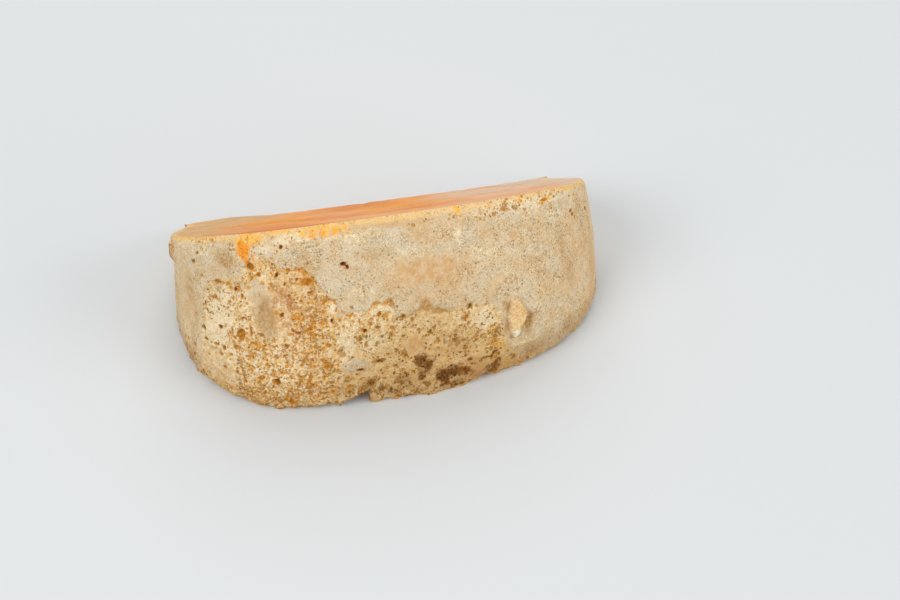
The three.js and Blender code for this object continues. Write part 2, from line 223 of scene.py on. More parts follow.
CREAM = [
    (-60, 38, 7, 9, 0.8), (-63, 27, 6, 5, 1), (-56, 20, 4, 4, 0.6), (-58, 44, 5, 4, 0.6),
    (28, 25, 4, 3.5, 0.9), (-6, 35.3, 3.4, 1.1, 0.95), (-18, 24, 2.6, 7, 0.75), (-10, 24, 4, 4, 0.65),
    (-31, 62.4, 6, 1.6, 1.2), (-17, 61.6, 5, 0.8, 0.9), (-8, 61.5, 4, 1.2, 0.6), (22, 56, 1.6, 4, 0.62),
    (31, 49, 6, 4, 0.5), (-66, 60, 4, 2, 0.6), (-43, 46, 2, 2.6, 0.85), (-41.4, 59.6, 2.6, 1.6, 1),
    (43, 11.5, 7, 1, 0.6), (45, 62.4, 26, 2.2, 0.6), (-21, 37.5, 1.4, 1.1, 1.1), (-30, 8, 4, 3, 0.55),
    (-38, 23, 5, 3, 0.5), (-6, 2, 4, 1.6, 0.5), (-42, 2, 3, 3, 0.5), (-12, 60, 4, 1.6, 0.5),
    (46, 25, 2, 3, 0.4), (-82, 18, 5, 9, 0.5), (61, 56, 6, 4, 0.45), (-50, 63, 1.4, 3, 0.4),
    (-76, 62.6, 8, 1.6, 0.6), (7, 53, 7, 3, 0.4), (-13, 42, 3, 2, 0.42), (-66, 13, 8, 8, 0.4),
]
# Where the crumbled rind is full of small spots, and where their hue turns to red or to olive.
SPOTS = [
    (-38, 13, 19, 15, 1), (-30, 34, 9, 14, 0.85), (-62, 42, 5, 8, 0.6), (-66, 36, 3, 6, 0.6),
    (-52, 42, 6, 9, 0.6), (-46, 25, 10, 7, 1), (-5, 27, 14, 7, 0.65), (14, 20, 20, 8, 0.58),
    (0, 7, 24, 8, 0.6), (-48, 60, 5, 5, 0.55), (-66, 62.6, 9, 2.6, 0.6), (-38, 61, 5, 3, 0.6),
    (46, 62.4, 24, 2.4, 0.9), (50, 59, 3, 2, 0.7), (52, 3, 18, 3, 0.12), (13, 62, 6, 2, 0.3),
    (-72, 10, 8, 12, 0.3), (-40, 50, 8, 5, 0.6), (32, 14, 3, 8, 0.9), (-80, 8, 8, 10, 0.5),
    (22, 27, 3, 4, 0.6), (2, 36, 12, 2, 0.4), (-17, 9, 8, 8, 0.8), (-16, 31, 5, 5, 0.8),
    (-98, 54, 8, 14, 0.9), (-19, 62.6, 9, 1.6, 0.4), (-60, 22, 8, 3, 0.5), (-53, 33, 3, 6, 0.7),
]
# The fine dark specks of the firm crust.
SPECKS = [
    (56, 54, 12, 7, 0.8), (60, 40, 12, 12, 0.9), (-26, 57, 8, 4, 0.7), (-10, 48, 12, 6, 0.45),
    (24, 44, 12, 8, 0.6), (16, 58, 12, 3, 0.6), (36, 34, 8, 4, 0.5), (6, 40, 14, 4, 0.5),
    (-66, 50, 6, 3, 0.6), (78, 50, 8, 12, 0.5), (52, 24, 8, 12, 0.5), (64, 12, 12, 8, 0.5),
    (40, 52, 8, 6, 0.5), (-44, 54, 10, 3, 0.6), (-72, 30, 4, 12, 0.4), (-8, 56, 8, 4, 0.35),
    (48, 48, 6, 10, 0.8),
]
REDDER = [
    (-34, 44, 9, 10, 0.9), (-41, 12, 3, 3, 0.8), (-38, 60, 6, 3, 1), (-20, 32, 4, 4, 0.6),
    (-37, 4, 8, 5, 0.5), (-15, 14, 4, 2, 0.8), (-12, 29, 2, 2, 0.8), (-36, 28, 4, 6, 0.5),
]
OLIVER = [
    (12, 20, 32, 15, 0.85), (-64, 38, 6, 12, 0.5), (-25, 14, 4, 6, 0.4), (-55, 13, 3, 5, 0.9),
    (2, 6, 22, 9, 0.9), (-70, 56, 8, 8, 0.8), (-72, 22, 8, 10, 0.8), (44, 60, 3, 3, 0.6),
    (-4, 30, 12, 8, 0.6),
]
# Darker, warmer parts low on the rind: painted shade, where the rind is also browner, with fewer cream
# ridges and pale blotches.
DIMMED = [
    (8, 14, 30, 17, 0.7), (30, 6, 16, 8, 0.8), (-14, 10, 10, 8, 0.6), (44, 6, 12, 6, 0.7),
    (62, 4, 14, 6, 0.5), (-30, 38, 8, 12, 0.1), (8, 39, 18, 4, 0.22), (26, 28, 14, 8, 0.2),
]
PEACH = [
    (11, 46, 12, 4.6, 1.1), (4.4, 21, 3.4, 3.2, 0.9), (3, 19, 8, 3, 0.4), (25.5, 5.5, 3.4, 3.6, 1),
    (24, 10, 4, 1.5, 0.8), (11, 58, 4, 5, 0.45), (42, 52, 1.8, 2, 1), (32, 55, 3, 4, 0.5),
    (-36, 40, 10, 12, 0.7), (15, 16, 10, 3, 0.6), (10, 40, 14, 4, 0.35), (-8, 50, 8, 5, 0.25),
    (0, 63.5, 14, 1.6, 0.8), (-75, 38, 6, 12, 0.35), (22, 61.5, 14, 2, 0.5), (84, 20, 10, 22, 0.4),
    (-28, 20, 5, 14, 0.4), (-84, 20, 8, 20, 0.3), (-44, 33, 4, 7, 0.4), (-60, 53, 3, 3, 0.5),
    (70, 36, 10, 16, 0.3), (-66, 12, 7, 7, 0.4),
]
GREY = [
    (-60, 57, 16, 6, 0.7), (-70, 44, 6, 10, 0.5), (-18, 46, 10, 9, 0.6), (-2, 57, 10, 6, 0.9),
    (12, 53, 10, 4, 0.6), (28, 53, 6, 6, 0.8), (35, 57, 8, 4, 0.6), (-70, 14, 8, 8, 0.4),
    (7, 28, 3, 2.5, 0.9), (-14, 17, 6, 2.5, 0.9), (-44, 44, 3, 4, 0.9), (46, 27, 3, 5, 0.8),
    (12, 33, 7, 2, 0.6), (55, 40, 6, 6, 0.3), (57, 10, 9, 6, 0.3), (-63, 6, 9, 6, 0.3), (-8, 38, 12, 3, 0.5),
    (-11, 55, 6, 5, 0.6), (62, 57, 6, 4, 0.4), (-36, 57, 8, 3, 0.6), (0, 6, 8, 4, 0.5), (2, 14, 3, 2, 0.5),
    (36, 24, 1.5, 5, 0.5), (46, 14, 4, 4, 0.5),
]
# Places on the end caps where the crust has come off.
BARE = [(-98, 56, 7, 10, 1.0)]

# Stretches of the crust's lower edge that stand out as a shallow groove with a painted brown shadow.
SHADOWED_SEAM = [
    (-31, 49, 12, 5, 1), (-21, 40, 4, 6, 1), (-44, 53, 5, 3, 0.5), (2, 34, 4, 5, 0.9), (14, 32, 8, 3, 0.9),
    (-6, 37, 6, 3, 0.8), (28, 31, 6, 3, 0.5),
]

# The masks that only colour, with how soft their edges are.
COLOUR_MASKS = [
    ("orange", ORANGE, 0.45), ("vivid", VIVID, 0.4), ("golden", GOLDEN, 0.5), ("stain", STAIN, 0.5),
    ("cream", CREAM, 0.45), ("peach", PEACH, 0.5), ("grey", GREY, 0.6), ("tan", TAN_AND_SHADE_PATCHES, 0.6),
    ("marks", MARKS, 0.5), ("spots", SPOTS, 0.7), ("specks", SPECKS, 0.6), ("dim", DIMMED, 0.6),
]

# Places without pits: the hollow, the flake and other firm patches.
SMOOTH = [
    (-44, 38, 4.2, 10.5, 1), (-63.5, 28, 4.6, 3.6, 0.8), (-60.5, 37, 2.4, 4, 0.6), (-14.5, 16, 5.5, 3, 0.9),
    (43, 11, 8, 3, 0.7), (4.4, 21, 3.4, 3.2, 0.9), (25.5, 6, 3.2, 3.4, 0.8), (-66, 12, 8, 8, 0.5),
]

# Tones of the cut cheese, each a soft patch on the cut face: place along the axis, distance from the
# thin edge, half width, half depth and strength.
DRY_CUT = [(-62, 34, 18, 46, 1.2), (-46, 8, 18, 18, 1), (-60, 78, 9, 18, 0.7)]
PALE_CUT = [(58, 16, 28, 28, 1.1), (70, 46, 10, 34, 1), (42, 8, 16, 12, 0.8)]
PINK_CUT = [
    (16, 84, 22, 12, 0.95), (50, 60, 22, 20, 0.8), (-6, 62, 12, 9, 0.5), (34, 74, 12, 16, 0.7),
    (-14, 24, 10, 8, 0.4),
]
DEEP_CUT = [
    (-36, 84, 22, 12, 1.3), (-10, 88, 14, 7, 0.8), (-12, 44, 12, 10, 0.6), (-40, 60, 14, 8, 0.7),
    (18, 50, 14, 8, 0.5), (2, 10, 12, 8, 0.5),
]
BRIGHT_CUT = [(-28, 32, 11, 20, 1), (16, 22, 13, 17, 0.9), (-6, 76, 6, 6, 0.4)]
CUT_MASKS = [
    ("dry", DRY_CUT), ("pale", PALE_CUT), ("pink", PINK_CUT), ("deep", DEEP_CUT), ("bright", BRIGHT_CUT),
]

# The crumbled lower rim, with one larger bite whose right wall is steep.
RIM_CRUMBLE = 2.4
RIM_CRUMBLE_HEIGHT = 2.2
BITE = {"left": -20.5, "right": -11.4, "height": 6.2, "depth": 9.0}
# Slow unevenness of the whole rind, and how far the patches' outlines wander.
UNEVEN = 0.7
UNEVEN_SIZE = 17
WANDER = 1.8
# How soft a patch's edge is, as a part of its size, where nothing else is said.
PATCH_SOFT = 0.45
# The hidden ends begin this far from the middle: their crumbled patches, and their colours.
BARE_ENDS = (92, 104)
COLOUR_ENDS = (88, 100)
# The small pits: how many places are tried and the seed of their random draws.
PIT_TRIES = 7000
PIT_SEED = 11
# The features die out within this radius round the poles.
POLE_FADE = 30
TURN_STEP = 0.002  # for the slope of the outline

# Clouds of colour on the hidden ends: mask, strength, size, seed, where a cloud begins and is full.
END_CLOUDS = [
    ("cream", 0.7, 13.0, 7, 0.05, 0.4), ("grey", 0.7, 15.0, 8, 0.0, 0.3), ("stain", 0.8, 9.0, 9, 0.25, 0.5),
    ("peach", 0.7, 12.0, 10, 0.0, 0.35), ("tan", 0.8, 10.0, 14, 0.05, 0.4),
]

# The camera at the photograph's angle: lens, aim and the way back to it, in the part's frame.
LENS_MM = 104.24
SENSOR_MM = 36.0
CAMERA_AIM = Vector((0.01986, -0.00708, 0.0))
CAMERA_BACK = Vector((-0.1513, -0.7132, 0.6844))
CAMERA_DISTANCE = 0.8799

# The floor's half width and colour, the sky, and the lamps: name, place, size and power.
FLOOR_HALF = 3.0
FLOOR_COLOUR = (0.65, 0.66, 0.655, 1)
SKY_COLOUR = (0.93, 0.96, 1.0, 1)
SKY_STRENGTH = 0.59
LAMPS = [
    ("key", (-0.85, -0.55, 0.9), 0.9, 8.2),
    ("fill", (0.9, -0.7, 0.5), 1.0, 6.3),
    ("back", (0.1, 0.7, 0.9), 0.9, 4.0),
]
LAMP_AIM = Vector((0, 0, 0.02))


def smoothstep(x, low, high):
    """0 below low, 1 above high and a smooth rise between."""
    t = np.clip((x - low) / (high - low), 0.0, 1.0)
    return t * t * (3.0 - 2.0 * t)


def lattice(i, j):
    """A repeatable number from 0 to 1 for one lattice point, as in the CAD part."""
    v = np.sin(i * 127.1 + j * 311.7) * 43758.5453
    return v - np.floor(v)


def hills(u, v):
    """Smooth random hills from 0 to 1 over the plane, as in the CAD part."""
    u, v = np.broadcast_arrays(np.asarray(u, float), np.asarray(v, float))
    i, j = np.floor(u), np.floor(v)
    fu, fv = smoothstep(u - i, 0, 1), smoothstep(v - j, 0, 1)
    low = lattice(i, j) * (1 - fu) + lattice(i + 1, j) * fu
    high = lattice(i, j + 1) * (1 - fu) + lattice(i + 1, j + 1) * fu
    return low * (1 - fv) + high * fv


def scatter(i, j, k, seed):
    """A repeatable number from 0 to 1 for one point of a lattice in space."""
    n = (i * 374761393 + j * 668265263 + k * 1440662683 + seed * 974711) & 0xFFFFFFFF
    n = ((n ^ (n >> 13)) * 1274126177) & 0xFFFFFFFF
    n = ((n ^ (n >> 16)) * 668265263) & 0xFFFFFFFF
    return (n >> 8) / float(1 << 24)


def grain(points, size, seed):
    """Smooth noise from 0 to 1 in space, with features of the given size in millimetres."""
    p = points / size + 1000.0
    cell = np.floor(p).astype(np.int64)
    f = p - cell
    f = f * f * (3.0 - 2.0 * f)
    total = 0.0
    for corner in np.ndindex(2, 2, 2):
        weight = np.where(corner, f, 1.0 - f).prod(axis=-1)
        total = total + weight * scatter(*np.moveaxis(cell + corner, -1, 0), seed)
    return total


def layered(points, size, octaves, seed):
    """Noise from about -1 to 1, with finer layers of half the size and half the strength."""
    total, strength, share = 0.0, 1.0, 0.0
    for octave in range(octaves):
        total = total + strength * (2.0 * grain(points, size / 2**octave, seed + 17 * octave) - 1.0)
        share += strength
        strength *= 0.5
    return total / share


def outline(turn, lift):
    """x and radius of the ball's outline in one plane through its axis, and how far it is from the ends."""
    way = -np.cos(turn)
    left = way < 0

    def pick(name):
        return np.where(left, LEFT_END[name], RIGHT_END[name])

    reach = pick("base") * (1 - lift) + pick("top") * lift
    equator = BALL_RADIUS[0] * (1 - lift) + BALL_RADIUS[1] * lift
    radius = equator * np.abs(np.sin(turn)) ** (2 / pick("across"))
    dimple = pick("dimple") * np.exp(-((radius / DIMPLE_WIDTH) ** 2)) * np.sqrt(np.abs(way))
    x = np.sign(way) * (reach * np.abs(way) ** (2 / pick("along")) - dimple)
    return x, radius, np.maximum(0, 1 - (x / reach) ** 2)


def stations():
    """Arc lengths along the rind and their turns, fine in front and coarser towards the poles."""
    turn = np.linspace(0, math.pi, OUTLINE_POINTS)
    x, radius, _ = outline(turn, 0.0)
    arc = np.concatenate([[0], np.cumsum(np.hypot(np.diff(x), np.diff(radius)))])
    arc -= arc[OUTLINE_POINTS // 2]
    front = np.arange(-FRONT_REACH, FRONT_REACH, FRONT_STEP)
    left = np.arange(arc[0] + POLE_STEP, -FRONT_REACH - POLE_STEP / 2, POLE_STEP)
    right = np.arange(FRONT_REACH + POLE_STEP / 2, arc[-1] - POLE_STEP / 2, POLE_STEP)
    s = np.concatenate([left, front, right])
    return s, np.interp(s, arc, turn), (s - arc[0]) / (arc[-1] - arc[0])


def crust_line(s):
    """The height of the crust line along the rind, far below zero beside it."""
    places, heights = zip(*CRUST_LINE)
    return np.interp(s, places, heights, left=-9.0, right=-9.0)


def rim_loss(s, h, ragged):
    """How deep the lower rim has crumbled, with the bite. ragged is fine noise from -1 to 1."""
    fade = 1 - smoothstep(h, 0, RIM_CRUMBLE_HEIGHT + 0.8 * ragged)
    crumble = (RIM_CRUMBLE * hills(s * 0.42, 3.3) ** 1.5 + 0.8 * np.abs(ragged)) * fade
    along = np.clip((s - BITE["left"]) / (BITE["right"] - BITE["left"]), 0, 1)
    roof = BITE["height"] * (0.25 + 0.75 * along) + 0.7 * ragged
    from_left = smoothstep(s, BITE["left"] - 0.4, BITE["left"] + 0.4)
    to_right = 1 - smoothstep(s, BITE["right"] - 0.2, BITE["right"] + 0.4)
    bite = BITE["depth"] * from_left * to_right * (1 - smoothstep(h, roof - 0.4, roof + 0.4))
    return np.maximum(crumble, bite)


def patches(spots, s, h, soft=PATCH_SOFT):
    """The strongest of a list of soft ellipses at each place."""
    total = np.zeros(np.broadcast(s, h).shape)
    for cs, ch, width, height, strength in spots:
        away = np.hypot((s - cs) / width, (h - ch) / height)
        total = np.maximum(total, strength * (1 - smoothstep(away, 1 - soft, 1 + soft)))
    return total


def inside_corners(corners, s, h):
    """How far each place is inside a shape with corners given clockwise, below zero outside it."""
    depth = np.full(np.broadcast(s, h).shape, 1e3)
    for (s0, h0), (s1, h1) in zip(corners, corners[1:] + corners[:1]):
        along_s, along_h = s1 - s0, h1 - h0
        away = ((h - h0) * along_s - (s - s0) * along_h) / math.hypot(along_s, along_h)
        depth = np.minimum(depth, -away)
    return depth


class Rind:
    """The rind's grid of places with the depth below the plain ball and the masks for its colours."""

    def __init__(self, s, turn, heights):
        self.s, self.heights = s, heights
        self.S, self.H = np.meshgrid(s, heights)
        self.lift = self.H / RIND_HEIGHT
        self.turns = np.broadcast_to(turn, self.S.shape)
        x, radius, _ = outline(self.turns, self.lift)
        self.narrow = np.clip(radius / BALL_RADIUS[1], 0.02, 1.0)
        angle = WEDGE_ANGLE * self.lift
        self.points = np.stack([x, -radius * np.cos(angle), radius * np.sin(angle)], axis=-1)
        self.ws = self.S + WANDER * self.noise(5.0, 3, 1)
        self.wh = self.H + WANDER * self.noise(5.0, 3, 2)
        self.ragged = self.noise(1.6, 3, 3)
        self.pit = np.zeros(self.S.shape)
        self.hue = np.full(self.S.shape, 0.5)
        self.pit_depth = np.zeros(self.S.shape)

    def noise(self, size, octaves, seed):
        return layered(self.points, size, octaves, seed)

    def wandering(self, spots, soft=PATCH_SOFT):
        """Soft patches with wandering outlines."""
        return patches(spots, self.ws, self.wh, soft)

    def under_crust(self):
        """How far each place lies below the ragged crust line."""
        return crust_line(self.ws) + 1.2 * self.ragged - self.wh

    def erosion(self):
        """1 where the crust has crumbled away, with a ragged line, also in patches on the hidden ends."""
        places, softness = zip(*CRUST_EDGE)
        half = np.interp(self.S, places, softness) / 2
        front = smoothstep(self.under_crust() / half, -1, 1)
        ends = smoothstep(np.abs(self.S), *BARE_ENDS)
        hidden = smoothstep(self.noise(19.0, 4, 4), 0.12, 0.2)
        bare = smoothstep(self.wandering(BARE), 0.4, 0.6)
        eroded = np.maximum(np.maximum(front, bare), ends * hidden)
        firm = patches(FIRM, self.S + 0.8 * self.ragged, self.H + 0.8 * self.edge, 0.3)
        return eroded * (1 - firm)

    def stamp(self, cs, ch, width, height, depth, hue, tint):
        """One pit, as a bowl with an uneven edge."""
        reach = 1.5 * max(width, height) + 0.6
        c0, c1 = np.searchsorted(self.s, (cs - reach, cs + reach))
        squeeze = self.narrow[0, min(c0, len(self.s) - 1)]
        r0, r1 = np.searchsorted(self.heights, (ch - reach / squeeze, ch + reach / squeeze))
        if c1 <= c0 or r1 <= r0:
            return
        box = (slice(r0, r1), slice(c0, c1))
        ds = (self.S[box] - cs + 0.5 * width * self.ragged[box]) / width
        dh = (self.H[box] - ch + 0.5 * height * self.edge[box]) * self.narrow[box] / height
        away = np.hypot(ds, dh)
        bowl = 1 - smoothstep(away, 0.3, 1.0)
        shade = tint * (1 - smoothstep(away, 0.45, 1.15))
        self.pit_depth[box] = np.maximum(self.pit_depth[box], depth * bowl)
        self.hue[box] = np.where(shade > self.pit[box], hue, self.hue[box])
        self.pit[box] = np.maximum(self.pit[box], shade)

    def scatter_pits(self, density):
        """Many pits, close together in the crumbled rind and few in the crust."""
        rng = np.random.default_rng(PIT_SEED)
        across = rng.uniform(self.s[0], self.s[-1], PIT_TRIES)
        up = rng.uniform(0, RIND_HEIGHT, PIT_TRIES)
        for cs, ch, (chance, size, tone, tilt) in zip(across, up, rng.random((PIT_TRIES, 4))):
            column = min(np.searchsorted(self.s, cs), len(self.s) - 1)
            row = min(np.searchsorted(self.heights, ch), len(self.heights) - 1)
            if chance > density[row, column] * self.narrow[row, column]:
                continue
            radius = 0.5 + 0.6 * size**3
            depth = radius * (0.3 + 0.4 * tone)
            hue = self.base_hue[row, column] + 0.3 * (tone - 0.35)
            width, height = radius * (0.8 + 0.5 * tilt), radius * (1.3 - 0.5 * tilt)
            self.stamp(cs, ch, width, height, depth, hue, 0.2 + 0.5 * tone)

    def colours(self):
        """The masks that don't change the shape."""
        for name, spots, soft in COLOUR_MASKS:
            setattr(self, name, self.wandering(spots, soft))
        ends = smoothstep(np.abs(self.S), *COLOUR_ENDS)
        clouds = self.noise(11.0, 3, 6)
        self.orange = np.maximum(self.orange, ends * self.eroded * (0.5 + 0.5 * clouds))
        for name, strength, size, seed, low, high in END_CLOUDS:
            cloud = strength * ends * smoothstep(self.noise(size, 3, seed), low, high)
            setattr(self, name, np.maximum(getattr(self, name), cloud))
        self.specks = np.maximum(self.specks, ends * (0.45 + 0.5 * clouds))
        self.spots = np.maximum(self.spots, ends * self.eroded * 0.85)
        tips = smoothstep(self.narrow, 0.04, 0.2)
        for name in ("orange", "stain", "tan", "specks", "spots"):
            setattr(self, name, getattr(self, name) * tips)
        near_s, near_h = self.S + 0.5 * self.ragged, self.H + 0.5 * self.edge
        inside = inside_corners(FLAKE, near_s, near_h)
        in_chip = inside_corners(CHIP, near_s, near_h)
        self.flake = smoothstep(inside, -FLAKE_EDGE / 2, FLAKE_EDGE / 2)
        self.chip = smoothstep(in_chip, -FLAKE_EDGE / 2, FLAKE_EDGE / 2) * (1 - self.flake)
        nearest = np.maximum(inside, in_chip)
        # The cleft round the flake: a shallow groove, darkened in the material as painted shadow.
        self.shadowed_cleft = smoothstep(nearest, -1.5, -0.5) * (1 - smoothstep(nearest, -0.4, 0.0))
        self.shadowed_cleft = self.shadowed_cleft * patches(SHADOWED_CLEFT, self.S, self.H, 0.6)
        self.smooth = np.maximum(self.wandering(SMOOTH), np.maximum(self.flake, self.chip))
        self.spots = self.spots * (1 - self.smooth)
        self.specks = self.specks * (1 - self.smooth)

    def build(self):
        """Depth and masks over the whole grid."""
        self.edge = self.noise(1.5, 2, 5)
        self.eroded = self.erosion()
        self.colours()
        redder, oliver = [self.wandering(spots, 0.6) for spots in (REDDER, OLIVER)]
        hue = 0.42 + 0.33 * redder - 0.42 * oliver + 0.22 * self.noise(3.0, 2, 34)
        self.base_hue = np.clip(hue, 0.05, 0.9)
        self.hue = self.base_hue.copy()
        self.scatter_pits((0.08 + 0.6 * self.spots) * self.eroded * (1 - self.smooth))
        for pit in LARGE_PITS:
            self.stamp(*pit)
        below = self.under_crust()
        shadowed_seam = smoothstep(below, 0.0, 0.5) * (1 - smoothstep(below, 0.9, 1.8))
        shadowed_seam = shadowed_seam * patches(SHADOWED_SEAM, self.S, self.H)
        # Painted brown shadow below the crust's edge, coloured through the pit mask, over a shallow groove.
        self.pit = np.maximum(self.pit, 0.55 * shadowed_seam)
        depth = UNEVEN * hills(self.S / UNEVEN_SIZE + 9, self.H / UNEVEN_SIZE)
        depth = depth + CRUST_STEP * self.eroded + 0.35 * shadowed_seam
        depth = depth - FLAKE_RISE * self.flake - CHIP_RISE * self.chip + 0.5 * self.shadowed_cleft
        for cs, ch, width, height, dent in SHAPES:
            away = np.hypot((self.ws - cs) / width, (self.wh - ch) / height)
            depth = depth + dent * (1 - smoothstep(away, 0.35, 1)) * (1 - self.flake)
        rough = self.noise(2.0, 3, 12)
        depth = depth + self.eroded * (1 - 0.7 * self.smooth) * (0.05 + 0.3 * rough)
        depth = depth + (1 - self.eroded) * 0.1 * self.noise(1.8, 3, 13)
        depth = depth + self.pit_depth
        rounded = smoothstep(self.H, RIND_HEIGHT - TOP_ROUNDING, RIND_HEIGHT) ** 2
        depth = depth + rounded * (0.8 + 0.5 * self.ragged)
        depth = depth + rim_loss(self.S, self.H, self.ragged)
        low = 1 - smoothstep(self.H, 1.5, 7.0)
        depth = depth + low * (0.1 + 1.2 * self.noise(2.6, 3, 35))
        self.depth = depth * np.minimum(1, self.narrow * BALL_RADIUS[1] / POLE_FADE)

    def surface(self):
        """The rind's points in the part's frame before centring."""
        x, radius, bow = outline(self.turns, self.lift)
        x0, r0, _ = outline(self.turns - TURN_STEP, self.lift)
        x1, r1, _ = outline(self.turns + TURN_STEP, self.lift)
        across, along = x1 - x0, r1 - r0
        span = np.hypot(across, along)
        x = x + along / span * self.depth
        radius = radius - across / span * self.depth
        angle = WEDGE_ANGLE * self.lift
        z = radius * np.sin(angle) - self.lift * TOP_SAG * bow
        return np.stack([x, -radius * np.cos(angle), z], axis=-1)


def edge_points(along):
    """The thin edge at the back, slightly chipped."""
    left, right = float(outline(0.0, 0.0)[0]), float(outline(math.pi, 0.0)[0])
    x = left + (right - left) * along
    bow = 1 - (2 * along - 1) ** 2
    points = np.stack([x, -EDGE_BOW * bow, np.zeros_like(x)], axis=-1)
    chips = smoothstep(layered(points, 4.0, 3, 20), 0.0, 0.8)
    points[:, 1] -= 0.5 * chips * np.minimum(1, 3 * bow)
    return points


def cut_face(rim, edge, parts, hollow):
    """Rows of a cut face from the rim to the thin edge, a little hollow and with the knife's drag."""
    keep = (1 - parts)[:, None]
    x = edge[None, :, 0] + (rim[None, :, 0] - edge[None, :, 0]) * keep**2
    y = edge[None, :, 1] + (rim[None, :, 1] - edge[None, :, 1]) * keep
    z = edge[None, :, 2] + (rim[None, :, 2] - edge[None, :, 2]) * keep
    points = np.stack([x, y, z], axis=-1)
    if hollow:
        bow = np.maximum(0, 1 - (x / LEFT_END["base"]) ** 2)
        inside = np.sin(math.pi * parts)[:, None]
        down = hollow * bow * inside * 0.9
        stretched = points * (0.12, 1.0, 1.0)
        down = down + (0.35 + 0.35 * layered(stretched, 5.0, 3, 21)) * smoothstep(inside, 0.0, 0.35)
        down = down - END_SWELL * smoothstep(-x, 20, 48) * smoothstep(parts, 0.3, 0.9)[:, None]
        down = down * np.minimum(1, np.linalg.norm(rim - edge, axis=-1) / HOLLOW_FADE)
        points[..., 1] -= down * math.sin(WEDGE_ANGLE)
        points[..., 2] -= down * math.cos(WEDGE_ANGLE)
    return points


def shifted(points):
    """Points moved forward where they are near the right part of the thin edge."""
    near = 1 - smoothstep(np.hypot(points[..., 1], points[..., 2]), 0, 60)
    moved = points.copy()
    moved[..., 1] -= EDGE_SHIFT * smoothstep(points[..., 0], 5, 60) * near
    return moved


def from_rim(face):
    """How far each point of a cut face is from the rind, in millimetres."""
    reach = np.hypot(face[..., 1], face[..., 2])
    turn = np.linspace(0, math.pi, RIM_POINTS)
    x, radius, _ = outline(turn, 0.5)
    away = np.full(face.shape[:2], 1e3)
    for px, pr in zip(x, radius):
        away = np.minimum(away, np.hypot(face[..., 0] - px, reach - pr))
    return away


def rind_band(face):
    """The rind's own thickness, seen as a pale band along the rim of a cut face."""
    ends = smoothstep(np.abs(face[..., 0]), 45, 66)
    thick = 1.4 + 1.8 * ends + (0.6 + 1.2 * ends) * layered(face, 6.0, 3, 41)
    return 1 - smoothstep(from_rim(face), 0.3 * thick, 1.5 * thick)


def cut_tone(face, spots):
    """One tone's patches on a cut face, with wandering edges drawn out along the cheese."""
    stretched = face * (0.3, 1.0, 1.0)
    along = face[..., 0] + 9.0 * layered(face, 14.0, 3, 42)
    reach = np.hypot(face[..., 1], face[..., 2]) + 9.0 * layered(stretched, 7.0, 3, 43)
    return patches(spots, along, reach, 0.6)


def loft_faces(columns, size):
    """Quads between neighbouring loops and triangles round the two poles."""
    k = np.arange(size)
    after = (k + 1) % size
    a = 1 + np.arange(columns - 1)[:, None] * size
    b = a + size
    quads = np.stack([a + k, b + k, b + after, a + after], axis=-1).reshape(-1, 4)
    end = 1 + (columns - 1) * size
    first = np.stack([np.zeros(size, int), 1 + k, 1 + after], axis=-1)
    last = np.stack([end + k, np.full(size, columns * size + 1), end + after], axis=-1)
    return quads, np.concatenate([first, last])


def make_mesh(name, points, quads, triangles):
    """A mesh from numpy arrays."""
    mesh = bpy.data.meshes.new(name)
    mesh.from_pydata(points.tolist(), [], quads.tolist() + triangles.tolist())
    mesh.polygons.foreach_set("use_smooth", np.ones(len(mesh.polygons), bool))
    return mesh


def mark_sharp(mesh, size, rows):
    """Sharp edges along the given rows of the loops."""
    ends = np.empty(len(mesh.edges) * 2, np.int32)
    mesh.edges.foreach_get("vertices", ends)
    ends = ends.reshape(-1, 2)
    last = len(mesh.vertices) - 1
    row = (ends - 1) % size
    inner = (ends > 0).all(axis=1) & (ends < last).all(axis=1)
    sharp = inner & (row[:, 0] == row[:, 1]) & np.isin(row[:, 0], rows)
    layer = mesh.attributes.new("sharp_edge", "BOOLEAN", "EDGE")
    layer.data.foreach_set("value", sharp)


def write_map(mesh, across, along):
    """A map for baking: across the loft from pole to pole and once round each loop."""
    here, after = along[:-1], along[1:]
    middle = (here + after) / 2
    left, right = across[:-1, None], across[1:, None]

    def corners(*places):
        pairs = [np.stack(np.broadcast_arrays(u, v), axis=-1) for u, v in places]
        return np.stack(np.broadcast_arrays(*pairs), axis=-2).reshape(-1, 2)

    quads = corners((left, here), (right, here), (right, after), (left, after))
    first = corners((0.0, middle), (across[0], here), (across[0], after))
    last = corners((across[-1], here), (1.0, middle), (across[-1], after))
    values = np.concatenate([quads, first, last])
    layer = mesh.uv_layers.new(name="OFBake")
    layer.data.foreach_set("uv", (0.002 + 0.996 * values).astype(np.float32).ravel())


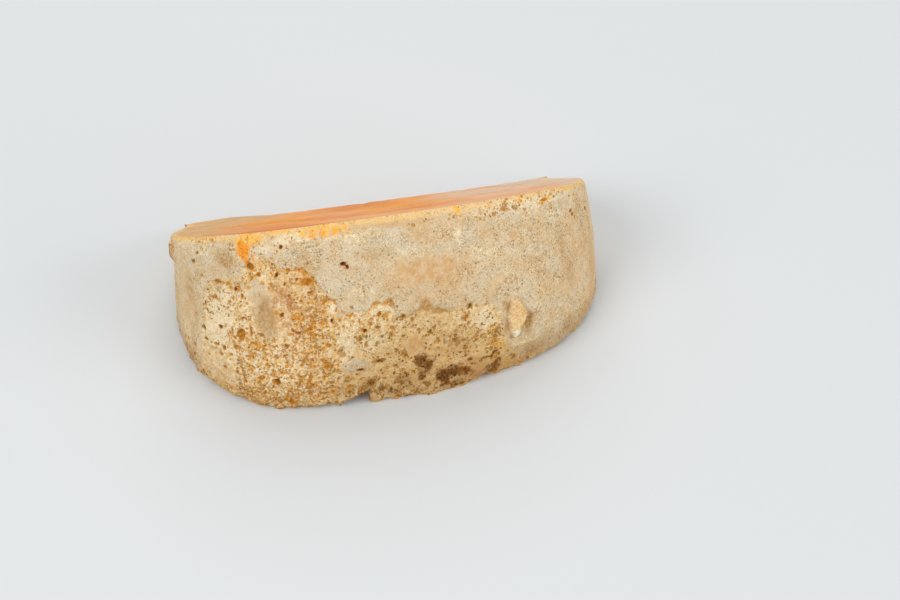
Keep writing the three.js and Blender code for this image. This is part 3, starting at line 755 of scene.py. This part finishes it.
def build_piece():
    """The whole piece of cheese with its masks."""
    s, turn, along = stations()
    rows = int(round(RIND_HEIGHT / RIND_STEP)) + 1
    heights = np.linspace(0, RIND_HEIGHT, rows)
    rind = Rind(s, turn, heights)
    rind.build()
    skin = rind.surface()
    edge = edge_points(along)
    top_parts = (np.arange(1, TOP_ROWS) / TOP_ROWS) ** TOP_ROW_POWER
    base_parts = np.arange(BASE_ROWS - 1, 0, -1) / BASE_ROWS
    top = cut_face(skin[-1], edge, top_parts, TOP_HOLLOW)
    base = cut_face(skin[0], edge, base_parts, 0.0)
    loops = np.concatenate([skin, top, edge[None], base]).transpose(1, 0, 2)
    columns, size = loops.shape[:2]
    poles = edge_points(np.array([0.0, 1.0]))
    points = shifted(np.concatenate([poles[:1], loops.reshape(-1, 3), poles[1:]]))
    points += (-CENTRE_X, EDGE_Y, 0.0)
    points *= MM
    points = np.clip(points, np.array(cad_low), np.array(cad_high))
    mesh = make_mesh("mimolette_cheese", points, *loft_faces(columns, size))
    mark_sharp(mesh, size, (0, len(skin) - 1, len(skin) + len(top)))
    middle = loops[columns // 2]
    steps = np.linalg.norm(np.roll(middle, -1, axis=0) - middle, axis=-1)
    write_map(mesh, along, np.concatenate([[0], np.cumsum(steps)]) / steps.sum())

    def write(name, on_rind, on_top=0.0, on_base=0.0):
        """A mask: one number on each vertex, which the material reads by name."""
        face = np.broadcast_to(on_top, (len(top_parts), columns))
        under = np.broadcast_to(on_base, (len(base_parts), columns))
        values = np.concatenate([on_rind, face, face[-1:], under]).T.ravel()
        values = np.concatenate([values[:1], values, values[-1:]])
        layer = mesh.attributes.new(name, "FLOAT", "POINT")
        layer.data.foreach_set("value", np.clip(values, 0, 2).astype(np.float32))

    for name in ["eroded", "pit", "hue", "flake", "chip", "shadowed_cleft"] + [name for name, _, _ in COLOUR_MASKS]:
        write(name, getattr(rind, name))
    plain = np.zeros(rind.S.shape)
    write("height", rind.H / RIND_HEIGHT)
    write("cut", plain, 1.0, 1.0)
    write("band", plain + 1, rind_band(top), rind_band(base))
    for name, spots in CUT_MASKS:
        write(name, plain, cut_tone(top, spots), cut_tone(base, spots))
    return mesh


class Nodes:
    """Short names for the nodes of one material."""

    def __init__(self, tree):
        self.tree = tree
        self.place = self.vector("MULTIPLY", self.add("ShaderNodeTexCoord").outputs["Object"], (1 / MM,) * 3)
        self.wobbly = self.wobble(1.1, 0.5)

    def add(self, kind, **settings):
        node = self.tree.nodes.new(kind)
        for name, value in settings.items():
            setattr(node, name, value)
        return node

    def put(self, socket, value):
        """A link from another node's output, or a plain value."""
        if isinstance(value, bpy.types.NodeSocket):
            self.tree.links.new(value, socket)
        elif isinstance(value, tuple) and len(value) == 3 and socket.type == "RGBA":
            socket.default_value = (*value, 1.0)
        else:
            socket.default_value = value

    def mask(self, name):
        return self.add("ShaderNodeAttribute", attribute_name=name).outputs["Fac"]

    def vector(self, kind, *values):
        """A sum on places or colours, part by part."""
        node = self.add("ShaderNodeVectorMath", operation=kind)
        for socket, value in zip(node.inputs, values):
            self.put(socket, value)
        return node.outputs[0]

    def stretch(self, factors):
        return self.vector("MULTIPLY", self.place, factors)

    def noise(self, size, detail=5.0, rough=0.7, where=None):
        """Noise from 0 to 1 with features of this size in millimetres."""
        node = self.add("ShaderNodeTexNoise")
        self.put(node.inputs["Vector"], where or self.place)
        for name, number in (("Scale", 1 / size), ("Detail", detail), ("Roughness", rough)):
            node.inputs[name].default_value = number
        return node.outputs["Fac"]

    def cloud(self, size, low, high, least=0.0, most=1.0, **kind):
        """Noise that rises from least to most between two levels."""
        return self.rise(self.noise(size, **kind), low, high, least, most)

    def wobble(self, size, reach):
        """The place, shifted by noise, so that round spots become uneven."""
        node = self.add("ShaderNodeTexNoise")
        self.put(node.inputs["Vector"], self.place)
        node.inputs["Scale"].default_value = 1 / size
        return self.vector("MULTIPLY_ADD", node.outputs["Color"], (2 * reach,) * 3, self.place)

    def spots(self, size, amount, small, large, soft=0.1):
        """Scattered uneven spots at this spacing, as many as amount says, and a random number for each."""
        node = self.add("ShaderNodeTexVoronoi")
        self.put(node.inputs["Vector"], self.wobbly)
        node.inputs["Scale"].default_value = 1 / size
        chance = self.add("ShaderNodeSeparateColor")
        self.put(chance.inputs[0], node.outputs["Color"])
        filled = self.rise(self.sum("SUBTRACT", amount, chance.outputs[0]), 0.0, 0.05)
        radius = self.rise(chance.outputs[1], 0.0, 1.0, small, large)
        inside = self.rise(self.sum("SUBTRACT", radius, node.outputs["Distance"]), 0.0, soft)
        return self.times(filled, inside), chance.outputs[2]

    def ragged(self, name, size, spread=0.7, soft=0.12, less=0.0):
        """A mask with an uneven edge: its strength is the share that it covers."""
        noise = self.sum("MULTIPLY_ADD", self.noise(size), 2 * spread, -spread - less)
        return self.rise(self.sum("ADD", self.mask(name), noise), 0.5 - soft, 0.5 + soft)

    def within(self, name, size, spread, soft):
        """A mask with an uneven edge, kept to where the plain mask is above zero."""
        return self.times(self.ragged(name, size, spread, soft), self.rise(self.mask(name), 0.0, 0.2))

    def filtered(self, share, colour, tint):
        """A colour seen through a tint, by this share."""
        return self.mix(share, colour, tint, "MULTIPLY")

    def shade(self, colour, brightness):
        """A colour made lighter or darker."""
        return self.vector("MULTIPLY", colour, brightness)

    def rise(self, value, low, high, to_low=0.0, to_high=1.0):
        """A smooth step from one number to another."""
        node = self.add("ShaderNodeMapRange", interpolation_type="SMOOTHSTEP")
        self.put(node.inputs["Value"], value)
        for name, number in zip(("From Min", "From Max", "To Min", "To Max"), (low, high, to_low, to_high)):
            node.inputs[name].default_value = number
        return node.outputs["Result"]

    def sum(self, kind, *values, clamp=False):
        node = self.add("ShaderNodeMath", operation=kind, use_clamp=clamp)
        for socket, value in zip(node.inputs, values):
            self.put(socket, value)
        return node.outputs[0]

    def times(self, a, b):
        return self.sum("MULTIPLY", a, b, clamp=True)

    def mix(self, share, a, b, kind="MIX"):
        """Two colours mixed; the node has sockets for numbers and places before those for colours."""
        node = self.add("ShaderNodeMix", data_type="RGBA", blend_type=kind)
        for socket, value in ((0, share), (6, a), (7, b)):
            self.put(node.inputs[socket], value)
        return node.outputs[2]


# The layers of small spots: spacing, share of the places filled, smallest and largest radius as a
# part of the spacing, softness and strength.
SPOT_LAYERS = [
    (2.9, 0.36, 0.28, 0.6, 0.24, 0.72), (1.7, 0.6, 0.28, 0.6, 0.18, 0.9), (1, 0.72, 0.28, 0.58, 0.14, 0.95),
    (0.7, 0.62, 0.26, 0.52, 0.12, 0.92),
]

# The sizes of the crust's specks, as their spacing.
SPECK_SIZES = (0.9, 0.6, 0.45)

# Colours, linear.
BEIGE = (0.74, 0.595, 0.39)
TAN = (0.74, 0.53, 0.295)
GREY_BEIGE = (0.66, 0.59, 0.43)
PALE = (0.91, 0.79, 0.58)
CREAM_WHITE = (0.93, 0.775, 0.515)
CRUMBLED = (0.81, 0.54, 0.23)
PEACH_TONE = (0.67, 0.39, 0.165)
TAN_TONE = (0.48, 0.275, 0.085)
# The marks' ochre-brown, also used for the painted shadow in the cleft round the flake.
MARK_AND_SHADOW_TONE = (0.46, 0.22, 0.04)
RUST = (0.44, 0.155, 0.03)
OCHRE = (0.82, 0.43, 0.07)
FLAKE_TONE = (0.80, 0.51, 0.22)
FLAKE_PALE = (0.88, 0.64, 0.34)
CHIP_TONE = (0.88, 0.79, 0.56)
SPECK = (0.28, 0.15, 0.04)
GRAIN_TINT = (0.68, 0.56, 0.40)
# Painted shade: darker and warmer towards the bottom of the rind, and in the dim patches.
LOW_SHADE_TINT = (0.72, 0.64, 0.52)
DIM_SHADE_TINT = (0.775, 0.705, 0.60)
STAIN_HALO = (0.62, 0.50, 0.35)
STAIN_CORE = (0.42, 0.31, 0.21)
PIT_OLIVE = (0.38, 0.185, 0.03)
PIT_ORANGE = (0.55, 0.21, 0.009)
PIT_RED = (0.36, 0.05, 0.004)
GOLDEN_TONE = (0.97, 0.49, 0.065)
VIVID_ORANGE = (0.92, 0.29, 0.008)
RIM_CREAM = (0.90, 0.61, 0.27)
PASTE = (0.90, 0.37, 0.12)
PASTE_PALE = (0.92, 0.44, 0.17)
PASTE_DEEP = (0.78, 0.24, 0.06)
PASTE_BRIGHT = (0.93, 0.37, 0.07)
PASTE_PINK = (0.90, 0.52, 0.31)
PASTE_DRY = (0.74, 0.45, 0.21)
PASTE_WHITE = (0.78, 0.60, 0.44)
EYE_TINT = (0.55, 0.38, 0.25)
# The masks of the cut face with their tones, the later over the earlier.
CUT_TONES = [
    ("bright", PASTE_BRIGHT), ("deep", PASTE_DEEP), ("pink", PASTE_PINK), ("dry", PASTE_DRY),
    ("pale", PASTE_WHITE),
]

# The shine of the cheese, and its fine bumps.
SPECULAR = 0.12
ROUGHNESS = (0.9, 0.7)  # of the rind and of the cut faces
BUMP_STRENGTH = 0.8
BUMP_MM = 0.4


def crust_colour(n):
    """Grey-beige crust with warm and grey clouds."""
    colour = n.mix(n.cloud(6.0, 0.42, 0.58, rough=0.6), BEIGE, TAN)
    colour = n.mix(n.times(n.mask("grey"), n.cloud(2.4, 0.40, 0.60)), colour, GREY_BEIGE)
    return n.mix(n.cloud(1.7, 0.50, 0.64, 0.0, 0.5, rough=0.75), colour, PALE)


def crumbled_colour(n):
    """Rind without its crust: cream with an ochre bloom."""
    pale = n.times(n.cloud(1.8, 0.44, 0.58), n.rise(n.mask("dim"), 0.0, 1.0, 1.0, 0.4))
    colour = n.mix(pale, CRUMBLED, CREAM_WHITE)
    bloom = n.cloud(3.0, 0.44, 0.56, 0.0, 0.85, rough=0.75)
    return n.mix(n.times(n.mask("orange"), bloom), colour, OCHRE)


def grained(n, colour):
    """A colour with the rind's fine light and dark grain, calmer where it is peach."""
    calm = n.sum("MULTIPLY", n.mask("peach"), 0.6)
    shaded = n.shade(colour, n.cloud(1.2, 0.36, 0.64, 0.91, 1.07, rough=0.75))
    fine = n.cloud(0.46, 0.47, 0.58, 0.0, 0.95, detail=3.0, rough=0.72)
    broad = n.cloud(3.4, 0.4, 0.6, 0.3, 1.0, detail=4.0, rough=0.65)
    shaded = n.filtered(n.times(fine, broad), shaded, GRAIN_TINT)
    return n.mix(calm, shaded, colour)


def painted_low_shade(n, colour):
    """Painted shade: a colour made darker and warmer towards the bottom of the rind and in the dim patches.
    """
    colour = n.filtered(n.rise(n.mask("height"), 0.0, 0.24, 0.65, 0.0), colour, LOW_SHADE_TINT)
    return n.filtered(n.mask("dim"), colour, DIM_SHADE_TINT)


def crust_specks(n, colour):
    """Fine brown specks, closer where the mask of specks is strong."""
    amount = n.sum("MULTIPLY_ADD", n.mask("specks"), 0.9, 0.08)
    amount = n.times(amount, n.sum("SUBTRACT", 1.2, n.mask("spots")))
    amount = n.times(amount, n.sum("SUBTRACT", 1.1, n.mask("peach")))
    amount = n.times(amount, n.cloud(4.0, 0.38, 0.58, 0.15, 1.3, detail=4.0, rough=0.65))
    for size in SPECK_SIZES:
        specks, tone = n.spots(size, amount, 0.22, 0.44)
        colour = n.mix(n.times(specks, n.rise(tone, 0.0, 1.0, 0.15, 0.8)), colour, SPECK)
    return colour


def pit_and_shade_colour(n, tone):
    """From olive over orange-brown to dark red by the hue mask, darker where tone is high; in the larger
    pits this darkening is partly painted shade in their middle.
    """
    warm = n.mix(n.rise(n.mask("hue"), 0.12, 0.42), PIT_OLIVE, PIT_ORANGE)
    colour = n.mix(n.rise(n.mask("hue"), 0.62, 1.0), warm, PIT_RED)
    return n.shade(colour, n.rise(tone, 0.0, 1.3, 1.35, 0.5))


def small_spots(n, colour):
    """The close small spots of the crumbled rind in several sizes, over a colour, and their relief."""
    relief = None
    richness = n.times(n.mask("spots"), n.rise(n.mask("orange"), 0.0, 1.0, 0.72, 1.45))
    clusters = n.cloud(4.6, 0.40, 0.60, 0.35, 1.6, detail=4.0, rough=0.65)
    richness = n.sum("MULTIPLY", richness, clusters)
    for size, share, small, large, soft, strength in SPOT_LAYERS:
        spots, tone = n.spots(size, n.sum("MULTIPLY", richness, share), small, large, soft)
        colour = n.mix(n.times(spots, strength), colour, pit_and_shade_colour(n, tone))
        relief = spots if relief is None else n.sum("MAXIMUM", relief, spots)
    ridges = n.times(n.mask("spots"), n.cloud(0.9, 0.52, 0.60, 0.0, 0.95, detail=3.0))
    ridges = n.times(ridges, n.sum("SUBTRACT", 1.0, n.mask("dim")))
    return n.mix(ridges, colour, CREAM_WHITE), relief


def flake_colour(n):
    """The peach flake with its faint level lines."""
    lines = n.cloud(1.0, 0.42, 0.58, detail=4.0, rough=0.6, where=n.stretch((0.3, 1.0, 1.6)))
    return n.mix(lines, FLAKE_TONE, FLAKE_PALE)


def rind_colour(n):
    """The whole rind, from its ground to its pits and stains, and the small spots' relief."""
    colour = n.mix(n.ragged("eroded", 1.8, 0.7, 0.2), crust_colour(n), crumbled_colour(n))
    colour = n.mix(n.times(n.ragged("cream", 1.5, 0.9, 0.3), 0.8), colour, CREAM_WHITE)
    colour = n.mix(n.times(n.mask("peach"), n.cloud(2.2, 0.35, 0.6, 0.3, 0.9)), colour, PEACH_TONE)
    tan = n.times(n.mask("tan"), n.cloud(1.4, 0.38, 0.58, 0.25, 0.95, rough=0.75))
    colour = n.mix(tan, colour, TAN_TONE)
    rim = n.times(n.rise(n.mask("height"), 0.955, 0.985), n.cloud(2.0, 0.3, 0.6, 0.4, 0.95))
    colour = n.mix(rim, colour, RIM_CREAM)
    colour = grained(n, colour)
    colour = n.mix(n.times(n.within("golden", 1.2, 1.0, 0.25), 0.8), colour, GOLDEN_TONE)
    brown = n.mix(n.rise(n.mask("hue"), 0.35, 0.7), MARK_AND_SHADOW_TONE, RUST)
    colour = n.mix(n.times(n.ragged("marks", 0.9, 1.5, 0.35), 0.75), colour, brown)
    colour = crust_specks(n, colour)
    colour, relief = small_spots(n, colour)
    vivid = n.mix(n.cloud(0.8, 0.54, 0.64, detail=4.0), VIVID_ORANGE, GOLDEN_TONE)
    colour = n.mix(n.times(n.within("vivid", 0.8, 1.8, 0.25), 0.93), colour, vivid)
    # Painted shade low on the rind and in the dim patches.
    colour = painted_low_shade(n, colour)
    edge = n.sum("MULTIPLY_ADD", n.noise(0.7, 3.0), 0.6, -0.3)
    pit = n.rise(n.sum("ADD", n.mask("pit"), edge), 0.15, 0.6)
    # The pits darken towards their deep middle: their own darker colour, with painted shade in the hollow.
    pit_tone_and_shade = n.sum("ADD", n.mask("pit"), n.cloud(0.8, 0.4, 0.6, -0.3, 0.3, detail=3.0))
    colour = n.mix(n.times(pit, 0.9), colour, pit_and_shade_colour(n, pit_tone_and_shade))
    colour = n.filtered(n.ragged("stain", 2.4, 1.0, 0.5), colour, STAIN_HALO)
    colour = n.filtered(n.times(n.ragged("stain", 1.0, 2.0, 0.45, 0.25), 0.95), colour, STAIN_CORE)
    # Painted shadow in the cleft round the flake and below the chip, in the marks' brown.
    colour = n.mix(n.times(n.mask("shadowed_cleft"), 0.7), colour, MARK_AND_SHADOW_TONE)
    colour = n.mix(n.mask("chip"), colour, grained(n, CHIP_TONE))
    return n.mix(n.mask("flake"), colour, grained(n, flake_colour(n))), relief


def paste_colour(n):
    """The cut cheese: orange with faint streaks along the knife's way, paler and pinker in patches."""
    drawn = n.stretch((0.22, 1.0, 1.0))
    streaks = n.cloud(7.0, 0.34, 0.54, 0.35, 1.0, detail=4.0, rough=0.65, where=drawn)
    ground = n.cloud(11.0, 0.42, 0.60, detail=4.0, rough=0.6, where=drawn)
    colour = n.mix(ground, PASTE, PASTE_PALE)
    for name, tone in CUT_TONES:
        colour = n.mix(n.times(n.mask(name), streaks), colour, tone)
    colour = n.shade(colour, n.cloud(2.4, 0.32, 0.68, 0.86, 1.10, where=drawn))
    colour = n.shade(colour, n.cloud(0.9, 0.3, 0.7, 0.93, 1.06, detail=4.0))
    eyes, tone = n.spots(7.0, 0.16, 0.04, 0.085, 0.02)
    colour = n.filtered(n.times(eyes, n.rise(tone, 0, 1, 0.3, 0.8)), colour, EYE_TINT)
    band = n.times(n.mask("band"), n.cloud(2.0, 0.3, 0.6, 0.6, 1.0, detail=4.0))
    return n.mix(band, colour, RIM_CREAM)


def new_material(name):
    """A material and its shader."""
    material = bpy.data.materials.new(name)
    material.use_nodes = True
    return material, material.node_tree.nodes["Principled BSDF"]


def cheese_material():
    """Rind and cut faces in one material, told apart by the masks."""
    material, shader = new_material("cheese")
    tree = material.node_tree
    n = Nodes(tree)
    rind, relief = rind_colour(n)
    tree.links.new(n.mix(n.mask("cut"), rind, paste_colour(n)), shader.inputs["Base Color"])
    tree.links.new(n.rise(n.mask("cut"), 0.0, 1.0, *ROUGHNESS), shader.inputs["Roughness"])
    shader.inputs["Specular IOR Level"].default_value = SPECULAR
    height = n.sum("ADD", n.noise(0.6, 4.0), n.sum("MULTIPLY", n.noise(1.6, 3.0, 0.6), 1.2))
    height = n.sum("SUBTRACT", height, n.sum("MULTIPLY", relief, n.sum("SUBTRACT", 1.0, n.mask("cut"))))
    bump = n.add("ShaderNodeBump")
    bump.inputs["Strength"].default_value = BUMP_STRENGTH
    bump.inputs["Distance"].default_value = BUMP_MM * MM
    tree.links.new(height, bump.inputs["Height"])
    tree.links.new(bump.outputs[0], shader.inputs["Normal"])
    return material


def add_object(name, data, place=(0, 0, 0), back=None):
    """A new object at its place, turned so that its back is where this way leads."""
    thing = bpy.data.objects.new(name, data)
    bpy.context.collection.objects.link(thing)
    thing.location = place
    if back:
        thing.rotation_mode = "QUATERNION"
        thing.rotation_quaternion = back.to_track_quat("Z", "Y")
    return thing


def floor():
    """A plain pale floor."""
    mesh = bpy.data.meshes.new("floor")
    corners = [(FLOOR_HALF * x, FLOOR_HALF * y, 0) for x, y in ((-1, -1), (1, -1), (1, 1), (-1, 1))]
    mesh.from_pydata(corners, [], [(0, 1, 2, 3)])
    material, shader = new_material("floor")
    shader.inputs["Base Color"].default_value = FLOOR_COLOUR
    shader.inputs["Roughness"].default_value = 0.9
    mesh.materials.append(material)
    add_object("floor", mesh)


def area_light(name, place, size, power):
    lamp = bpy.data.lights.new(name, "AREA")
    lamp.shape = "DISK"
    lamp.size = size
    lamp.energy = power
    add_object(name, lamp, place, Vector(place) - LAMP_AIM)


def camera():
    data = bpy.data.cameras.new("camera")
    data.lens = LENS_MM
    data.sensor_width = SENSOR_MM
    data.clip_start, data.clip_end = 0.01, 20.0
    place = CAMERA_AIM + CAMERA_BACK.normalized() * CAMERA_DISTANCE
    bpy.context.scene.camera = add_object("camera", data, place, CAMERA_BACK)


def light():
    """Soft studio light from above, stronger from the left."""
    world = bpy.data.worlds.new("studio")
    world.use_nodes = True
    sky = world.node_tree.nodes["Background"]
    sky.inputs["Color"].default_value = SKY_COLOUR
    sky.inputs["Strength"].default_value = SKY_STRENGTH
    bpy.context.scene.world = world
    for lamp in LAMPS:
        area_light(*lamp)
    bpy.context.scene.view_settings.view_transform = "Standard"


camera()
light()
floor()
cheese = add_object("mimolette_cheese", build_piece())
cheese.data.materials.append(cheese_material())
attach(cheese, "root")
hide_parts("mimolette")
